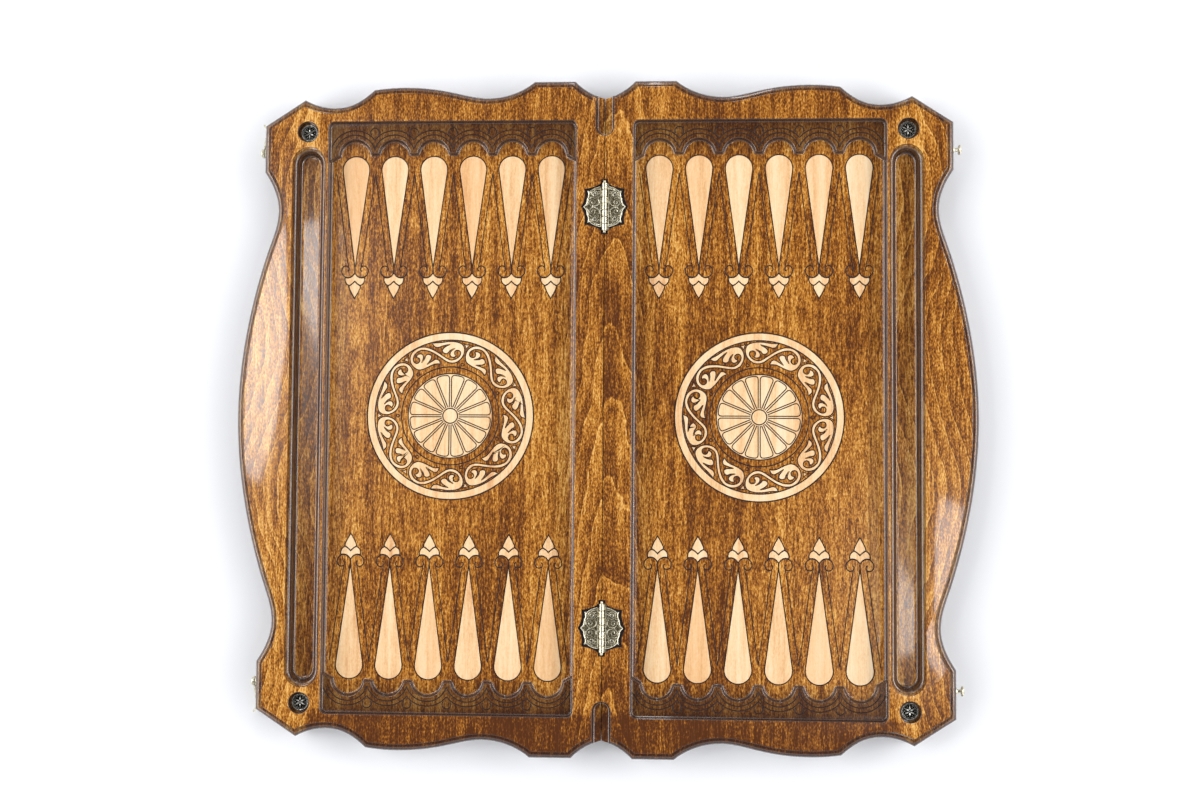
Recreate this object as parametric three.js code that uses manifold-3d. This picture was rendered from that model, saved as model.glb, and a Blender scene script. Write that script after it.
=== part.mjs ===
// Folding backgammon board, open and face up. Two mirror-image wooden halves are joined
// along the centre line by a pair of box hinges. Each half has a sunk playing field with an
// arcade at both ends, twelve inlaid points and a round inlay, and a storage trough.
// Hooks on the left edge close over studs on the right edge when the board is folded.
// Millimetres, +Z up, origin on the underside at the centre of the open board.
import * as THREE from 'three';
import { mergeVertices } from 'three/addons/utils/BufferGeometryUtils.js';
import Module from 'manifold-3d';

const wasm = await Module();
wasm.setup();

// --- Driving dimensions -------------------------------------------------------------------
const BOARD_T = 28; // thickness of one half
const HALF_X = 305.4; // centre line to the widest place of the outer edge
const HALF_Y = 279; // centre to the flat heads beside the seam
const SEAM = 0.3; // each half stops this far from the centre line
const FLAT_X = 286; // the straight outer edge that carries the latches
const MOULD_W = 4.6; // width of the rounded edge moulding
const MOULD_H = 4.2; // height of the rounded edge moulding
const STEP_W = 5.6; // inset of the raised top panel from the edge
const STEP_H = 1.2; // height of the raised top panel
const FIT = 0.15; // gap all round a piece that is let into wood

// Playing field of one half
const FIELD_X0 = 24;
const FIELD_X1 = 231;
const FIELD_Y = 245;
const FIELD_R = 4.5; // corner radius
const SHELF_Z = BOARD_T - 5.5; // top of the arcade shelf
const FLOOR_Z = BOARD_T - 11; // playing surface
const PITCH = 33; // spacing of the points
const FIRST_POINT_X = 45;
const POINT_COUNT = 6; // at one end of one half
const SCALLOP_R = 13.4;
const SCALLOP_Y = 217.8; // centres of the arcade arches
const ARCH_END = Math.PI / 18; // where an arch meets a tongue, above its centre
const TONGUE_Y = 219.3; // blunt tongues between the arches
const TONGUE_HALF = 2.5;
const END_TONGUE_Y = 213;

// Inlays, flush with the playing surface
const INLAY_T = 1.6;
const POINT_R = 10.9; // round end of a point
const POINT_L = 80; // round end's centre to the tip
const POINT_Y = 206.7; // round end's centre from the middle of the board
const ROSETTE_X = 128;
const ROSETTE_R = 69;

// Trough, corner sockets and seam notches
const TROUGH_X = 247.5;
const TROUGH_HALF = 9.8; // half width of the channel
const TROUGH_D = 11;
const TROUGH_FOOT = 3.4; // round foot of the channel's wall
const TROUGH_Y = 224; // outer end of the rim
const RIM_R = 4; // rounded edge of the trough
const RIM_H = 0.9; // small step above the rounded edge
const SOCKET_X = 249;
const SOCKET_Y = 237;
const SOCKET_R = 8.5;
const SOCKET_D = 7;
const MEDAL_R = 7.2;
const MEDAL_T = 1.8;
const NOTCH_R = 7.4; // half width across the seam
const NOTCH_Y = 240; // centre of the round end
const NOTCH_D = 6;

// Box hinges
const HINGE_Y = 173;
const AXIS_Z = BOARD_T + 0.25; // fold axis, just above the inner faces
const KNUCKLES = 7;
const KNUCKLE_PITCH = 5.4;
const KNUCKLE_GAP = 0.3;
const KNUCKLE_R = 2.1;
const PIN_R = 0.9;
const PIN_CLEAR = 0.3;
const FINIAL_R = 1.5;
const LEAF_T = 1.2;
const LEAF_TOP = -0.55; // leaf's face below the fold axis
const LEAF_INNER = 2.5;
const LEAF_CORNER = [14.9, 13.3];
const LEAF_TIP = 17.75;
const LEAF_HEAD = 18.3;
const LEAF_POCKET = 2; // pocket margin round the leaf
const LEAF_BED = 0.3; // gap under the leaf
const KNUCKLE_GROOVE = 0.7; // clearance round the knuckles
const SCREW_X = 8.3;
const SCREW_Y = 10.2;
const SCREW_HEAD_R = 2;
const SCREW_R = 0.9;
const SCREW_L = 9;

// Hooks and studs
const LATCH_Y = 221;
const LATCH_Z = BOARD_T - 10.5;
const REACH = 2 * (AXIS_Z - LATCH_Z); // pivot to stud when the board is folded
const HOOK_T = 1.2;
const HOOK_OUT = 2.2; // hook's back face from the edge
const EYE_R = 4;
const PIVOT_R = 1.5;
const STUD_R = 1.5;
const STUD_HEAD_R = 4.3;
const STUD_NECK = 5; // edge to the underside of the stud's head
const STUD_HEAD_T = 2.1;
const SHANK_L = 11; // how far a pivot or stud goes into the wood
const FINGER_L = 8; // bent end of the hook
const FINGER_HALF = 1.4;
const FINGER_BEND = Math.PI / 5;
const DROOP = (28 * Math.PI) / 180; // free hooks hang until they nearly touch the table

// --- Materials ----------------------------------------------------------------------------
const STAINED_BEECH = { color: 0x8a5634, roughness: 0.3, metalness: 0 };
const LIGHT_BEECH = { color: 0xc79a6c, roughness: 0.35, metalness: 0 };
const OLD_BRASS = { color: 0x8f7a55, roughness: 0.4, metalness: 1 };
const OLD_SILVER = { color: 0x9d9990, roughness: 0.4, metalness: 1 };

// --- Helpers ------------------------------------------------------------------------------
function makeSolid(geometry) {
  const bare = geometry.clone();
  bare.deleteAttribute('normal');
  bare.deleteAttribute('uv');
  const merged = mergeVertices(bare, 1e-4);
  const triangles = [];
  for (let i = 0; i < merged.index.count; i += 3) {
    const a = merged.index.getX(i);
    const b = merged.index.getX(i + 1);
    const c = merged.index.getX(i + 2);
    if (a !== b && b !== c && c !== a) {
      triangles.push(a, b, c);
    }
  }
  return new wasm.Manifold(new wasm.Mesh({
    numProp: 3,
    vertProperties: merged.attributes.position.array,
    triVerts: new Uint32Array(triangles),
  }));
}

function makeGeometry(solid) {
  const { vertProperties, triVerts } = solid.getMesh();
  const geometry = new THREE.BufferGeometry();
  geometry.setAttribute('position', new THREE.BufferAttribute(vertProperties, 3));
  geometry.setIndex(new THREE.BufferAttribute(triVerts, 1));
  geometry.computeVertexNormals();
  return geometry;
}

function makeMesh(name, geometry, look) {
  const mesh = new THREE.Mesh(geometry, new THREE.MeshStandardMaterial(look));
  mesh.name = name;
  return mesh;
}

function arc(cx, cy, radius, from, to, steps) {
  const points = [];
  for (let i = 0; i <= steps; i += 1) {
    const angle = from + ((to - from) * i) / steps;
    points.push(new THREE.Vector2(cx + radius * Math.cos(angle), cy + radius * Math.sin(angle)));
  }
  return points;
}

// Adds the mirror image below the X axis to an outline that runs from left to right above it
function withMirror(upper) {
  const lower = upper.map((p) => new THREE.Vector2(p.x, -p.y)).reverse();
  return [...upper, ...lower.filter((p) => p.y !== 0)];
}

// A prism from z0 to z1; side -1 mirrors the outline to the left half
function prism(points, z0, z1, side = 1) {
  const outline = points.map((p) => new THREE.Vector2(side * p.x, p.y));
  const geometry = new THREE.ExtrudeGeometry(new THREE.Shape(outline), {
    depth: z1 - z0,
    bevelEnabled: false,
  });
  return geometry.translate(0, 0, z0);
}

function cylinder(radius, z0, z1, segments) {
  return new THREE.CylinderGeometry(radius, radius, z1 - z0, segments)
    .rotateX(Math.PI / 2)
    .translate(0, 0, (z0 + z1) / 2);
}

// A bar along +X from the origin
function bar(radius, length, segments) {
  return new THREE.CylinderGeometry(radius, radius, length, segments)
    .rotateZ(Math.PI / 2)
    .translate(length / 2, 0, 0);
}

function lathe(profile, segments) {
  return new THREE.LatheGeometry(profile.map(([r, h]) => new THREE.Vector2(r, h)), segments);
}

// --- Outlines -----------------------------------------------------------------------------
// One half's edge from beyond the seam to the widest place, above the X axis
function edgeOutline() {
  const path = new THREE.Path();
  path.moveTo(-12, 261);
  path.lineTo(0, 264.4);
  path.quadraticCurveTo(15, 268.5, 25, HALF_Y);
  path.lineTo(59, HALF_Y);
  path.bezierCurveTo(68, 271.5, 82, 265.4, 98, 265.4);
  path.bezierCurveTo(116, 265.4, 132, 275, 168, 275);
  path.quadraticCurveTo(182, 275, 194, 273.1);
  path.bezierCurveTo(203, 265, 212, 258, 227, 258);
  path.quadraticCurveTo(240, 258, 252.5, 264.9);
  path.lineTo(FLAT_X, 243);
  path.lineTo(FLAT_X, 203.5);
  path.quadraticCurveTo(274, 186, 274, 171);
  path.bezierCurveTo(274, 158, 279, 148, 284, 132);
  path.bezierCurveTo(296.4, 92, HALF_X, 46, HALF_X, 0);
  return withMirror(path.getPoints(4));
}

function fieldOutline() {
  const x0 = FIELD_X0 + FIELD_R;
  const x1 = FIELD_X1 - FIELD_R;
  const y = FIELD_Y - FIELD_R;
  return withMirror([
    ...arc(x0, y, FIELD_R, Math.PI, Math.PI / 2, 3),
    ...arc(x1, y, FIELD_R, Math.PI / 2, 0, 3),
  ]);
}

function pointXs() {
  return Array.from({ length: POINT_COUNT }, (_, i) => FIRST_POINT_X + i * PITCH);
}

// The playing surface, with an arch over the head of every point
function floorOutline() {
  const upper = [new THREE.Vector2(FIELD_X0, END_TONGUE_Y)];
  pointXs().forEach((x, i) => {
    const first = i === 0;
    const last = i === POINT_COUNT - 1;
    const start = Math.PI - (first ? 0 : ARCH_END);
    upper.push(...arc(x, SCALLOP_Y, SCALLOP_R, start, last ? 0 : ARCH_END, 8));
    if (!last) {
      upper.push(new THREE.Vector2(x + PITCH / 2 - TONGUE_HALF, TONGUE_Y));
      upper.push(new THREE.Vector2(x + PITCH / 2 + TONGUE_HALF, TONGUE_Y));
    }
  });
  upper.push(new THREE.Vector2(FIELD_X1, END_TONGUE_Y));
  return withMirror(upper);
}

// A point of the board: round head at the origin, tip towards -Y
function pointOutline(grow) {
  const scale = 1 + grow / POINT_R;
  const lean = Math.asin(POINT_R / POINT_L);
  return [
    ...arc(0, 0, POINT_R * scale, -lean, Math.PI + lean, 10),
    new THREE.Vector2(0, -POINT_L * scale),
  ];
}

// One hinge leaf, right of the knuckles: swept head, pointed corners and a pointed side
function leafOutline() {
  const [cornerX, cornerY] = LEAF_CORNER;
  const path = new THREE.Path();
  path.moveTo(LEAF_INNER, LEAF_HEAD);
  path.quadraticCurveTo(5, 12.8, cornerX, cornerY);
  path.quadraticCurveTo(12.6, 6, LEAF_TIP, 0);
  return withMirror(path.getPoints(4));
}

// The pocket that a leaf lies in, pointed above and below the knuckles
function pocketOutline() {
  const [cornerX, cornerY] = LEAF_CORNER;
  const path = new THREE.Path();
  path.moveTo(0, LEAF_HEAD + 3 * LEAF_POCKET);
  path.quadraticCurveTo(4, 16, cornerX + LEAF_POCKET, cornerY + LEAF_POCKET);
  path.quadraticCurveTo(15, 7, LEAF_TIP + LEAF_POCKET, 0);
  return withMirror(path.getPoints(4));
}

// --- Board halves -------------------------------------------------------------------------
// The block with its rounded edge moulding and raised top panel, cut straight at the seam
function boardBlank(side) {
  const outline = edgeOutline().map((p) => new THREE.Vector2(side * p.x, p.y));
  const lower = new THREE.ExtrudeGeometry(new THREE.Shape(outline), {
    depth: BOARD_T - STEP_H - 2 * MOULD_H,
    bevelThickness: MOULD_H,
    bevelSize: MOULD_W,
    bevelOffset: -MOULD_W,
    bevelSegments: 2,
  }).translate(0, 0, MOULD_H);
  const panel = new THREE.ExtrudeGeometry(new THREE.Shape(outline), {
    depth: MOULD_H,
    bevelThickness: STEP_H / 2,
    bevelSize: STEP_H / 2,
    bevelOffset: -STEP_W - STEP_H / 2,
    bevelSegments: 1,
  }).translate(0, 0, BOARD_T - MOULD_H - STEP_H / 2);
  const halfSpace = new THREE.BoxGeometry(2 * HALF_X, 4 * HALF_Y, 4 * BOARD_T)
    .translate(side * (HALF_X + SEAM), 0, 0);
  return makeSolid(lower).add(makeSolid(panel)).intersect(makeSolid(halfSpace));
}

function fieldCutters(side) {
  const cutters = [
    prism(fieldOutline(), SHELF_Z, BOARD_T + 1, side),
    prism(floorOutline(), FLOOR_Z, SHELF_Z + 1, side),
    cylinder(ROSETTE_R + FIT, FLOOR_Z - INLAY_T - FIT, FLOOR_Z + 1, 48)
      .translate(side * ROSETTE_X, 0, 0),
  ];
  for (const x of pointXs()) {
    for (const end of [1, -1]) {
      cutters.push(
        prism(pointOutline(FIT), FLOOR_Z - INLAY_T - FIT, FLOOR_Z + 1)
          .rotateZ(end > 0 ? 0 : Math.PI)
          .translate(side * x, end * POINT_Y, 0),
      );
    }
  }
  return cutters;
}

// Flat-bottomed channel with round ends, a rounded edge and a small step at the top
function troughCutter() {
  const edge = BOARD_T - RIM_H;
  const foot = BOARD_T - TROUGH_D;
  const profile = [
    new THREE.Vector2(0, foot),
    ...arc(TROUGH_HALF - TROUGH_FOOT, foot + TROUGH_FOOT, TROUGH_FOOT, -Math.PI / 2, 0, 2),
    ...arc(TROUGH_HALF + RIM_R, edge - RIM_R, RIM_R, Math.PI, Math.PI / 2, 3),
    new THREE.Vector2(TROUGH_HALF + RIM_R + RIM_H / 4, edge),
    new THREE.Vector2(TROUGH_HALF + RIM_R + RIM_H / 4, BOARD_T + 1),
    new THREE.Vector2(0, BOARD_T + 1),
  ];
  const turned = new THREE.LatheGeometry(profile, 20, Math.PI / 20).rotateX(Math.PI / 2);
  const reach = TROUGH_Y - TROUGH_HALF - RIM_R - RIM_H / 4;
  const place = turned.getAttribute('position');
  for (let i = 0; i < place.count; i += 1) {
    place.setY(i, place.getY(i) + reach * Math.sign(Math.round(place.getY(i) * 1e3)));
  }
  return turned;
}

function storageCutters(side) {
  const cutters = [troughCutter().translate(side * TROUGH_X, 0, 0)];
  for (const end of [1, -1]) {
    cutters.push(
      cylinder(SOCKET_R, BOARD_T - SOCKET_D, BOARD_T + 1, 20)
        .translate(side * SOCKET_X, end * SOCKET_Y, 0),
    );
  }
  return cutters;
}

function seamNotch(side, end) {
  const outline = [
    ...arc(0, NOTCH_Y, NOTCH_R, Math.PI, 2 * Math.PI, 10),
    new THREE.Vector2(NOTCH_R, HALF_Y),
    new THREE.Vector2(-NOTCH_R, HALF_Y),
  ];
  return prism(outline, BOARD_T - NOTCH_D, BOARD_T + 1, side).rotateZ(end > 0 ? 0 : Math.PI);
}

function hingeCutters(side) {
  const cutters = [];
  const grooveR = KNUCKLE_R + KNUCKLE_GROOVE;
  const grooveL = KNUCKLES * KNUCKLE_PITCH + 4 * FINIAL_R + 2 * KNUCKLE_GROOVE;
  const bed = AXIS_Z + LEAF_TOP - LEAF_T - LEAF_BED;
  for (const end of [1, -1]) {
    cutters.push(
      prism(pocketOutline(), bed, BOARD_T + 1, side).translate(0, end * HINGE_Y, 0),
      new THREE.BoxGeometry(2 * grooveR, grooveL, 2 * grooveR)
        .translate(0, end * HINGE_Y, AXIS_Z),
    );
    for (const row of [1, -1]) {
      cutters.push(
        cylinder(SCREW_R + PIN_CLEAR, AXIS_Z + LEAF_TOP - SCREW_L - 0.6, BOARD_T, 8)
          .translate(side * SCREW_X, end * HINGE_Y + row * SCREW_Y, 0),
      );
    }
  }
  return cutters;
}

// Holes in the outer edge for the hook pivots or the studs
function latchCutters(side) {
  return [1, -1].map((end) => bar(PIVOT_R + PIN_CLEAR, SHANK_L + 3, 10)
    .translate(FLAT_X - SHANK_L - 0.6, 0, 0)
    .rotateZ(side > 0 ? 0 : Math.PI)
    .translate(0, end * LATCH_Y, LATCH_Z));
}

function boardHalf(side) {
  let board = boardBlank(side);
  const cutters = [
    ...fieldCutters(side),
    ...storageCutters(side),
    ...hingeCutters(side),
    ...latchCutters(side),
    seamNotch(side, 1),
    seamNotch(side, -1),
  ];
  for (const cutter of cutters) {
    board = board.subtract(makeSolid(cutter));
  }
  return makeMesh(side > 0 ? 'board_right' : 'board_left', makeGeometry(board), STAINED_BEECH);
}

// --- Inlays and medallions ----------------------------------------------------------------
function inlays(side) {
  const group = new THREE.Group();
  const half = side > 0 ? 'right' : 'left';
  const bottom = FLOOR_Z - INLAY_T;
  const rosette = makeMesh(
    `rosette_inlay_${half}`,
    cylinder(ROSETTE_R, bottom, FLOOR_Z, 48),
    LIGHT_BEECH,
  );
  rosette.position.x = side * ROSETTE_X;
  group.add(rosette);
  const geometry = prism(pointOutline(0), bottom, FLOOR_Z);
  pointXs().forEach((x, i) => {
    for (const end of [1, -1]) {
      const row = end > 0 ? 'upper' : 'lower';
      const point = makeMesh(`point_inlay_${half}_${row}_${i + 1}`, geometry, LIGHT_BEECH);
      point.position.set(side * x, end * POINT_Y, 0);
      point.rotation.z = end > 0 ? 0 : Math.PI;
      group.add(point);
    }
  });
  return group;
}

function medallion(side, end) {
  const rim = MEDAL_R - 0.9;
  const geometry = lathe([
    [0, 0],
    [MEDAL_R, 0],
    [MEDAL_R, MEDAL_T],
    [rim, MEDAL_T],
    [rim - 0.5, MEDAL_T - 0.6],
    [2.2, MEDAL_T - 0.6],
    [1.4, MEDAL_T],
    [0, MEDAL_T],
  ], 18).rotateX(Math.PI / 2);
  const name = `medallion_${side > 0 ? 'right' : 'left'}_${end > 0 ? 'upper' : 'lower'}`;
  const disc = makeMesh(name, geometry, OLD_SILVER);
  disc.position.set(side * SOCKET_X, end * SOCKET_Y, BOARD_T - SOCKET_D + FIT);
  return disc;
}

// --- Hinges -------------------------------------------------------------------------------
function knuckleTube() {
  const ring = new THREE.Shape(arc(0, 0, KNUCKLE_R, 0, 2 * Math.PI, 12).slice(0, -1));
  ring.holes.push(
    new THREE.Path(arc(0, 0, PIN_R + PIN_CLEAR, 0, 2 * Math.PI, 8).slice(0, -1)),
  );
  const length = KNUCKLE_PITCH - KNUCKLE_GAP;
  return new THREE.ExtrudeGeometry(ring, { depth: length, bevelEnabled: false })
    .translate(0, 0, -length / 2)
    .rotateX(Math.PI / 2);
}

function hingeLeaf(name, side) {
  const bottom = LEAF_TOP - LEAF_T;
  const tabInner = PIN_R + PIN_CLEAR + 0.15;
  const tabOuter = LEAF_INNER + 0.3;
  let leaf = makeSolid(prism(leafOutline(), bottom, LEAF_TOP, side));
  for (let i = side > 0 ? 0 : 1; i < KNUCKLES; i += 2) {
    const y = (i - (KNUCKLES - 1) / 2) * KNUCKLE_PITCH;
    const tab = new THREE.BoxGeometry(tabOuter - tabInner, KNUCKLE_PITCH - KNUCKLE_GAP, LEAF_T)
      .translate((side * (tabInner + tabOuter)) / 2, y, LEAF_TOP - LEAF_T / 2);
    leaf = leaf.add(makeSolid(tab)).add(makeSolid(knuckleTube().translate(0, y, 0)));
  }
  for (const row of [1, -1]) {
    const hole = lathe([
      [0, -LEAF_T - 0.5],
      [SCREW_R + PIN_CLEAR, -LEAF_T - 0.5],
      [SCREW_R + PIN_CLEAR, -LEAF_T],
      [SCREW_HEAD_R + PIN_CLEAR, 0],
      [SCREW_HEAD_R + PIN_CLEAR, 0.5],
      [0, 0.5],
    ], 12).rotateX(Math.PI / 2).translate(side * SCREW_X, row * SCREW_Y, LEAF_TOP);
    leaf = leaf.subtract(makeSolid(hole));
  }
  return makeMesh(name, makeGeometry(leaf), OLD_BRASS);
}

function hingePin(name) {
  const neck = (KNUCKLES * KNUCKLE_PITCH) / 2;
  const ball = arc(0, neck + FINIAL_R + 0.2, FINIAL_R, -Math.PI / 3, Math.PI / 2, 4);
  const upper = ball.slice(0, -1).map((p) => [p.x, p.y]);
  const top = neck + 2 * FINIAL_R + 0.2;
  const profile = [
    [0, -top],
    ...upper.map(([r, h]) => [r, -h]).reverse(),
    [PIN_R, -neck],
    [PIN_R, neck],
    ...upper,
    [0, top],
  ];
  return makeMesh(name, lathe(profile, 10), OLD_BRASS);
}

// Countersunk screw with a slot, head at the origin and shank along -Z
function screwGeometry() {
  const body = lathe([
    [0, -SCREW_L],
    [SCREW_R, -SCREW_L + 2],
    [SCREW_R, -LEAF_T],
    [SCREW_HEAD_R, -0.15],
    [SCREW_HEAD_R, 0],
    [0, 0],
  ], 10).rotateX(Math.PI / 2);
  const slot = new THREE.BoxGeometry(2 * SCREW_HEAD_R + 1, 0.5, 0.8);
  return makeGeometry(makeSolid(body).subtract(makeSolid(slot)));
}

function boxHinge(end) {
  const group = new THREE.Group();
  group.position.set(0, end * HINGE_Y, AXIS_Z);
  const which = end > 0 ? 'upper' : 'lower';
  group.add(hingePin(`${which}_hinge_pin`));
  const screw = screwGeometry();
  for (const side of [-1, 1]) {
    const half = side > 0 ? 'right' : 'left';
    group.add(hingeLeaf(`${which}_hinge_${half}_leaf`, side));
    [1, -1].forEach((row, i) => {
      const piece = makeMesh(`${which}_hinge_${half}_screw_${i + 1}`, screw, OLD_BRASS);
      piece.position.set(side * SCREW_X, row * SCREW_Y, LEAF_TOP);
      piece.rotation.z = (row * side * Math.PI) / 5;
      group.add(piece);
    });
  }
  return group;
}

// --- Hooks and studs ----------------------------------------------------------------------
// The hook lies along +X (times direction), opens towards +Y and is bent outwards along +Z
function hookGeometry(direction) {
  const notchR = STUD_R + PIN_CLEAR;
  const path = new THREE.Path();
  path.moveTo(2, 2.3);
  path.lineTo(REACH - notchR - 1, 2);
  path.quadraticCurveTo(REACH - notchR, 2, REACH - notchR, 0);
  path.absarc(REACH, 0, notchR, Math.PI, 2 * Math.PI, false);
  path.quadraticCurveTo(REACH + notchR, 2.4, REACH + 3.2, 2.6);
  path.quadraticCurveTo(REACH + 5, 2, REACH + 4.6, -0.6);
  path.quadraticCurveTo(REACH + 3.4, -4.6, REACH, -4.4);
  path.quadraticCurveTo(REACH - 4, -4, REACH - 7, -2);
  path.lineTo(2, -2.3);
  let hook = makeSolid(prism(path.getPoints(5), 0, HOOK_T, direction));
  hook = hook.add(makeSolid(cylinder(EYE_R, 0, HOOK_T, 20)));
  hook = hook.subtract(makeSolid(cylinder(PIVOT_R + PIN_CLEAR, -1, HOOK_T + 1, 12)));
  const finger = prism([
    new THREE.Vector2(0, -FINGER_HALF),
    ...arc(FINGER_L - FINGER_HALF, 0, FINGER_HALF, -Math.PI / 2, Math.PI / 2, 5),
    new THREE.Vector2(0, FINGER_HALF),
  ], 0, HOOK_T, direction)
    .rotateY(-direction * FINGER_BEND)
    .translate(direction * (REACH + 3.4), 0.4, 0);
  return makeGeometry(hook.add(makeSolid(finger)));
}

// A turned pivot or stud along +Y, wood face at the origin
function pivotGeometry() {
  return lathe([
    [0, -SHANK_L],
    [PIVOT_R, -SHANK_L + 2],
    [PIVOT_R, HOOK_OUT + HOOK_T + 0.3],
    [EYE_R - 0.3, HOOK_OUT + HOOK_T + 0.3],
    [EYE_R - 0.5, HOOK_OUT + HOOK_T + 1],
    [EYE_R - 2, HOOK_OUT + HOOK_T + 1.7],
    [0, HOOK_OUT + HOOK_T + 1.9],
  ], 12);
}

function studGeometry() {
  const end = STUD_NECK + STUD_HEAD_T;
  return lathe([
    [0, -SHANK_L],
    [STUD_R, -SHANK_L + 2],
    [STUD_R, FIT],
    [3, FIT],
    [2.6, 1.4],
    [STUD_R, 1.6],
    [STUD_R, STUD_NECK],
    [STUD_HEAD_R - 0.4, STUD_NECK],
    [STUD_HEAD_R, STUD_NECK + 0.7],
    [STUD_HEAD_R - 0.6, end - 0.5],
    [STUD_HEAD_R - 2, end],
    [0, end],
  ], 12);
}

function washerGeometry() {
  const ring = new THREE.Shape(arc(0, 0, EYE_R - 0.7, 0, 2 * Math.PI, 12).slice(0, -1));
  ring.holes.push(
    new THREE.Path(arc(0, 0, PIVOT_R + PIN_CLEAR, 0, 2 * Math.PI, 12).slice(0, -1)),
  );
  return new THREE.ExtrudeGeometry(ring, {
    depth: HOOK_OUT - 0.5,
    bevelEnabled: false,
  });
}

function latch(end) {
  const group = new THREE.Group();
  const which = end > 0 ? 'upper' : 'lower';
  const outwards = new THREE.Group();
  outwards.position.set(-FLAT_X, end * LATCH_Y, LATCH_Z);
  outwards.setRotationFromMatrix(new THREE.Matrix4().makeBasis(
    new THREE.Vector3(0, -1, 0),
    new THREE.Vector3(0, 0, 1),
    new THREE.Vector3(-1, 0, 0),
  ));
  const hook = makeMesh(`${which}_hook`, hookGeometry(-end), OLD_BRASS);
  hook.position.z = HOOK_OUT;
  hook.rotation.z = end * DROOP;
  const washer = makeMesh(`${which}_hook_washer`, washerGeometry(), OLD_BRASS);
  washer.position.z = FIT;
  outwards.add(hook, washer);
  const pivot = makeMesh(`${which}_hook_pivot`, pivotGeometry(), OLD_BRASS);
  pivot.position.set(-FLAT_X, end * LATCH_Y, LATCH_Z);
  pivot.rotation.z = Math.PI / 2;
  const stud = makeMesh(`${which}_stud`, studGeometry(), OLD_BRASS);
  stud.position.set(FLAT_X, end * LATCH_Y, LATCH_Z);
  stud.rotation.z = -Math.PI / 2;
  group.add(outwards, pivot, stud);
  return group;
}

// --- Assembly -----------------------------------------------------------------------------
const backgammonSet = new THREE.Group();
for (const side of [-1, 1]) {
  backgammonSet.add(boardHalf(side), inlays(side));
  for (const end of [1, -1]) {
    backgammonSet.add(medallion(side, end));
  }
}
for (const end of [1, -1]) {
  backgammonSet.add(boxHinge(end), latch(end));
}

export default backgammonSet;
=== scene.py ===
"""A folding backgammon board of stained beech, open and face up.

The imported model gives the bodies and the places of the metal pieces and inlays. This script
carves the two halves again with fine mouldings and engraved lines, makes the inlays, the
ornate hinges and the medallions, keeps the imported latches, and gives every piece a procedural
material. Outlines are drawn in millimetres and written to the meshes in metres.
"""
import math

import bmesh
import bpy
from mathutils import Matrix, Vector


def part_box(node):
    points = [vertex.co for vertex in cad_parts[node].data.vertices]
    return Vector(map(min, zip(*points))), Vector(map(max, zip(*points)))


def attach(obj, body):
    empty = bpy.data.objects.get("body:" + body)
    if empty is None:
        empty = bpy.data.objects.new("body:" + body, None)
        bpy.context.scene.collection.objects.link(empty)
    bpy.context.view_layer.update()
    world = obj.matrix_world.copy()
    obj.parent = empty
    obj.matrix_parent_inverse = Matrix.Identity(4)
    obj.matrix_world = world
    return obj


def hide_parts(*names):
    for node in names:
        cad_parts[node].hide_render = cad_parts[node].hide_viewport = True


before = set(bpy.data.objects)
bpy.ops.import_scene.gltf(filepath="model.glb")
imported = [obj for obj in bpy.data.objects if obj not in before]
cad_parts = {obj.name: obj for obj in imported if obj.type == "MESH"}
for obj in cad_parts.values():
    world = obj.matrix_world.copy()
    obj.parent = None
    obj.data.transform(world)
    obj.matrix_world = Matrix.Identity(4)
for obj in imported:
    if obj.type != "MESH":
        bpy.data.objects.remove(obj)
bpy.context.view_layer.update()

MM = 0.001
TAU = 2 * math.pi
HALVES = {1: "right", -1: "left"}

# --- Sizes of the carving, in millimetres (the CAD model's, where it has them) ---
HALF_X = 305.4
HALF_Y = 279
SEAM = 0.3
FLAT_X = 286
MOULD_W = 4.6
MOULD_H = 4.2
STEP_W = 5.6
STEP_H = 1.2
FIELD_X0 = 24
FIELD_X1 = 231
FIELD_Y = 245
FIELD_R = 4.5
PITCH = 33
POINT_COUNT = 6
SCALLOP_R = 13.4
SCALLOP_Y = 217.8
ARCH_END = math.pi / 18
TONGUE_Y = 219.3
TONGUE_HALF = 2.5
END_TONGUE_Y = 213
SHELF_DROP = 5.5
FIELD_RIM = 1.2
SHELF_FOOT = 1.6
FLOOR_RIM = 1.1
FLOOR_FOOT = 2.2
SIDE_FOOT = 2  # how much wider the floor's foot is along the side walls
STAVE_W = 65.5
POINT_R = 10.9
POINT_L = 80
TROUGH_X = 247.5
TROUGH_HALF = 9.8
TROUGH_D = 11
TROUGH_FOOT = 3.4
TROUGH_Y = 224
RIM_R = 4
RIM_H = 0.9
SOCKET_R = 8.5
SOCKET_D = 7
SOCKET_RIM = 0.7
NOTCH_R = 7.4
NOTCH_Y = 240
NOTCH_D = 6
NOTCH_RIM = 0.6
NOTCH_FOOT = 2.6
KNUCKLES = 7
KNUCKLE_R = 2.1
KNUCKLE_GAP = 0.3
GROOVE_CLEAR = 0.7
LEAF_T = 1.2
LEAF_INNER = 2.5
LEAF_CORNER = (14.9, 13.3)
LEAF_TIP = 17.75
LEAF_HEAD = 18.3
LEAF_POCKET = 1.5  # half a millimetre tighter than the CAD pocket
LEAF_BED = 0.3
SCREW_X = 8.3
SCREW_Y = 10.2
SCREW_BORE_R = 1.2
SCREW_BORE_L = 10.3
BORE_R = 1.8
SHANK_L = 11
FINIAL_L = 2.2

# --- Sizes of the engraving and the small inlays --------------------
LINE_W = 1
LINE_D = 0.4
INLAY_GAP = 0.95
INLAY_D = 0.45
SEAT_FIT = 0.06
ARCADE_RADII = (17.3, 21.1)
ROSETTE_RADII = {"edge": 69, "frieze": 63.2, "band": 40.8, "daisy": 35.2,
                 "petal": 33.9, "root": 7.4, "hub": 6.2}


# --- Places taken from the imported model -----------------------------
def box_mm(node):
    low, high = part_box(node)
    return low / MM, high / MM


def middle(node):
    low, high = box_mm(node)
    return (low + high) / 2


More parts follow.
